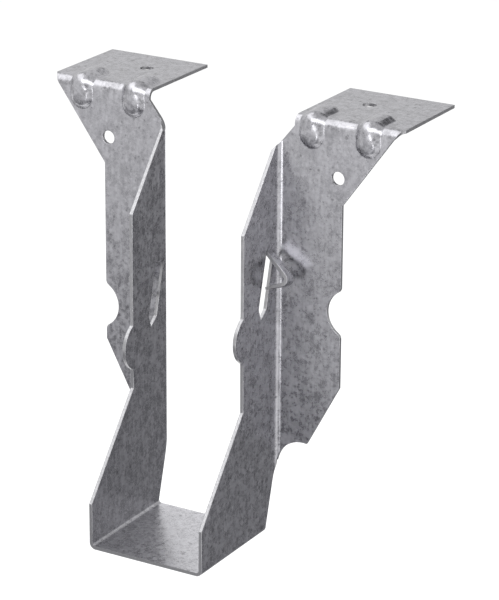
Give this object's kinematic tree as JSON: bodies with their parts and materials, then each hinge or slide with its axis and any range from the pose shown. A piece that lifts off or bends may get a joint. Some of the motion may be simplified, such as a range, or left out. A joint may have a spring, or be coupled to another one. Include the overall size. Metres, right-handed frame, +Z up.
{
  "type": "top-flange joist hanger",
  "caption": "Folded sheet-steel hanger that carries the end of a wooden joist and hangs it from the top of a header by bent-over flanges.",
  "frame": {"origin": "middle of the seat's upper face, where the joist's end sits", "axes": "+X across the joist, +Y into the header that carries the hanger, +Z up"},
  "size_m": [0.1276, 0.0817, 0.1421],
  "materials": {
    "galvanised_sheet": "hot-dip galvanised, fine mottled spangle, half matt"
  },
  "bodies": {
    "root": {"joist_hanger": "galvanised_sheet"}
  },
  "joints": []
}
